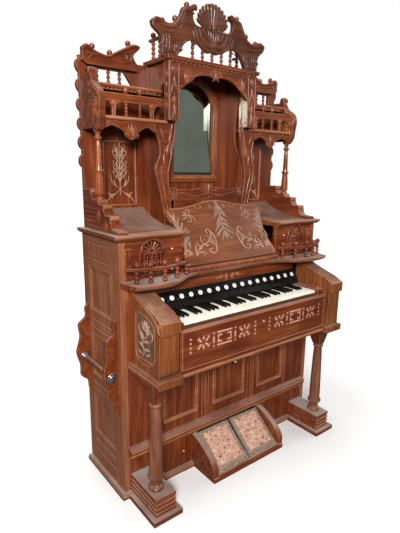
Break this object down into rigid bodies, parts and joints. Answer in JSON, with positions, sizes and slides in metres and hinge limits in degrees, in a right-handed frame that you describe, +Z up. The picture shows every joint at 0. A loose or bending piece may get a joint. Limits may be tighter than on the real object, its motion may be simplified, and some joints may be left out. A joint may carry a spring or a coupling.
{
  "type": "parlour reed organ",
  "caption": "High-top parlour reed organ in carved wood with a keyboard, drawstops, two blow pedals, mirror and galleries.",
  "frame": {"origin": "on the floor, at the middle of the outer box", "axes": "+Z up, +X to the player's right, the player sits on the -Y side"},
  "size_m": [1.34, 0.591, 2.1642],
  "materials": {
    "walnut": "varnished",
    "back_wood": "matte",
    "ebonised_wood": "satin",
    "stop_head": "satin",
    "ivory": "satin",
    "mirror_glass": "polished",
    "pedal_wood": "satin"
  },
  "bodies": {
    "case": {"arch_grilles": "walnut", "arm_consoles": "walnut", "back_boards": "back_wood", "backboard": "walnut", "base_moulding": "walnut", "black_keys": "ebonised_wood", "case_top": "walnut", "centre_cornice": "walnut", "centre_front": "walnut", "centre_sides": "walnut", "columns": "walnut", "cove": "walnut", "crest": "walnut", "crest_gallery": "walnut", "fret_panel": "walnut", "galleries": "walnut", "gallery_shelf": "walnut", "key_bed": "walnut", "key_blocks": "walnut", "kneeboard": "walnut", "left_arm": "walnut", "left_side": "walnut", "lower_front": "walnut", "mirror": "mirror_glass", "mirror_frame": "walnut", "music_desk": "walnut", "name_board": "walnut", "pedal_box": "walnut", "plinth_blocks": "walnut", "right_arm": "walnut", "right_side": "walnut", "side_arcades": "walnut", "side_brackets": "walnut", "side_handles": "walnut", "side_pediments": "walnut", "side_posts": "walnut", "side_shelves": "walnut", "stepped_consoles": "walnut", "stop_board": "ebonised_wood", "upper_front": "walnut", "white_keys": "ivory"},
    "left_pedal": {"left_pedal": "pedal_wood"},
    "right_pedal": {"right_pedal": "pedal_wood"},
    "stop_01": {"stop_01": "stop_head"},
    "stop_02": {"stop_02": "stop_head"},
    "stop_03": {"stop_03": "stop_head"},
    "stop_04": {"stop_04": "stop_head"},
    "stop_05": {"stop_05": "stop_head"},
    "stop_06": {"stop_06": "stop_head"},
    "stop_07": {"stop_07": "stop_head"},
    "stop_08": {"stop_08": "stop_head"},
    "stop_09": {"stop_09": "stop_head"},
    "stop_10": {"stop_10": "stop_head"},
    "stop_11": {"stop_11": "stop_head"},
    "stop_12": {"stop_12": "stop_head"},
    "stop_13": {"stop_13": "stop_head"},
    "stop_14": {"stop_14": "stop_head"},
    "stop_15": {"stop_15": "stop_head"},
    "stop_16": {"stop_16": "stop_head"},
    "stop_17": {"stop_17": "stop_head"}
  },
  "joints": [
    {"name": "left_pedal_hinge", "type": "hinge", "parent": "case", "child": "left_pedal", "pos_m": [0, -0.2145, 0.034], "axis": [1, 0, 0], "range_deg": [-25, 0], "stiffness_Nm_per_rad": 12, "springref_deg": 20.05},
    {"name": "right_pedal_hinge", "type": "hinge", "parent": "case", "child": "right_pedal", "pos_m": [0, -0.2145, 0.034], "axis": [1, 0, 0], "range_deg": [-25, 0], "stiffness_Nm_per_rad": 12, "springref_deg": 20.05},
    {"name": "stop_01_slide", "type": "slide", "parent": "case", "child": "stop_01", "axis": [0, -0.8192, 0.5736], "range_m": [0, 0.014]},
    {"name": "stop_02_slide", "type": "slide", "parent": "case", "child": "stop_02", "axis": [0, -0.8192, 0.5736], "range_m": [0, 0.014]},
    {"name": "stop_03_slide", "type": "slide", "parent": "case", "child": "stop_03", "axis": [0, -0.8192, 0.5736], "range_m": [0, 0.014]},
    {"name": "stop_04_slide", "type": "slide", "parent": "case", "child": "stop_04", "axis": [0, -0.8192, 0.5736], "range_m": [0, 0.014]},
    {"name": "stop_05_slide", "type": "slide", "parent": "case", "child": "stop_05", "axis": [0, -0.8192, 0.5736], "range_m": [0, 0.014]},
    {"name": "stop_06_slide", "type": "slide", "parent": "case", "child": "stop_06", "axis": [0, -0.8192, 0.5736], "range_m": [0, 0.014]},
    {"name": "stop_07_slide", "type": "slide", "parent": "case", "child": "stop_07", "axis": [0, -0.8192, 0.5736], "range_m": [0, 0.014]},
    {"name": "stop_08_slide", "type": "slide", "parent": "case", "child": "stop_08", "axis": [0, -0.8192, 0.5736], "range_m": [0, 0.014]},
    {"name": "stop_09_slide", "type": "slide", "parent": "case", "child": "stop_09", "axis": [0, -0.8192, 0.5736], "range_m": [0, 0.014]},
    {"name": "stop_10_slide", "type": "slide", "parent": "case", "child": "stop_10", "axis": [0, -0.8192, 0.5736], "range_m": [0, 0.014]},
    {"name": "stop_11_slide", "type": "slide", "parent": "case", "child": "stop_11", "axis": [0, -0.8192, 0.5736], "range_m": [0, 0.014]},
    {"name": "stop_12_slide", "type": "slide", "parent": "case", "child": "stop_12", "axis": [0, -0.8192, 0.5736], "range_m": [0, 0.014]},
    {"name": "stop_13_slide", "type": "slide", "parent": "case", "child": "stop_13", "axis": [0, -0.8192, 0.5736], "range_m": [0, 0.014]},
    {"name": "stop_14_slide", "type": "slide", "parent": "case", "child": "stop_14", "axis": [0, -0.8192, 0.5736], "range_m": [0, 0.014]},
    {"name": "stop_15_slide", "type": "slide", "parent": "case", "child": "stop_15", "axis": [0, -0.8192, 0.5736], "range_m": [0, 0.014]},
    {"name": "stop_16_slide", "type": "slide", "parent": "case", "child": "stop_16", "axis": [0, -0.8192, 0.5736], "range_m": [0, 0.014]},
    {"name": "stop_17_slide", "type": "slide", "parent": "case", "child": "stop_17", "axis": [0, -0.8192, 0.5736], "range_m": [0, 0.014]}
  ]
}
